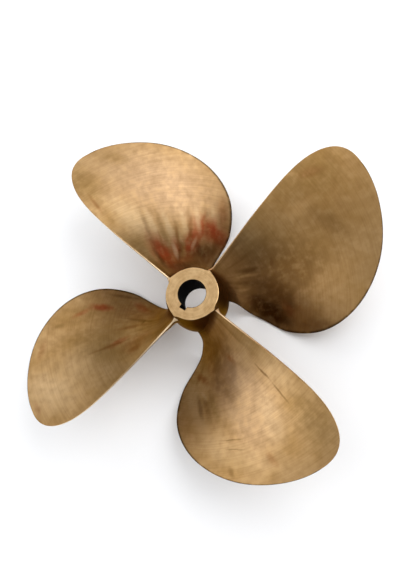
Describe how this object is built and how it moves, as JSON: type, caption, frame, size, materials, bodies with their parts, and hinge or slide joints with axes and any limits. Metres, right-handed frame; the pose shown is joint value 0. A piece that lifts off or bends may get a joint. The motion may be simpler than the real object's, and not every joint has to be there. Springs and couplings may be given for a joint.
{
  "type": "ship propeller",
  "caption": "Right-handed ship propeller cast in one piece, with broad raked helical blades and a tapered, keyed shaft bore.",
  "frame": {"origin": "on the shaft axis, at the level of the floor that the leading edges of the blades rest on", "axes": "+Z along the shaft axis, pointing aft, to the driving face of the blades; +X along the generating line of one blade"},
  "size_m": [0.9118, 0.9118, 0.2245],
  "materials": {
    "cast_bronze": "ground and weathered cast bronze, satin"
  },
  "bodies": {
    "root": {"propeller_casting": "cast_bronze"}
  },
  "joints": []
}
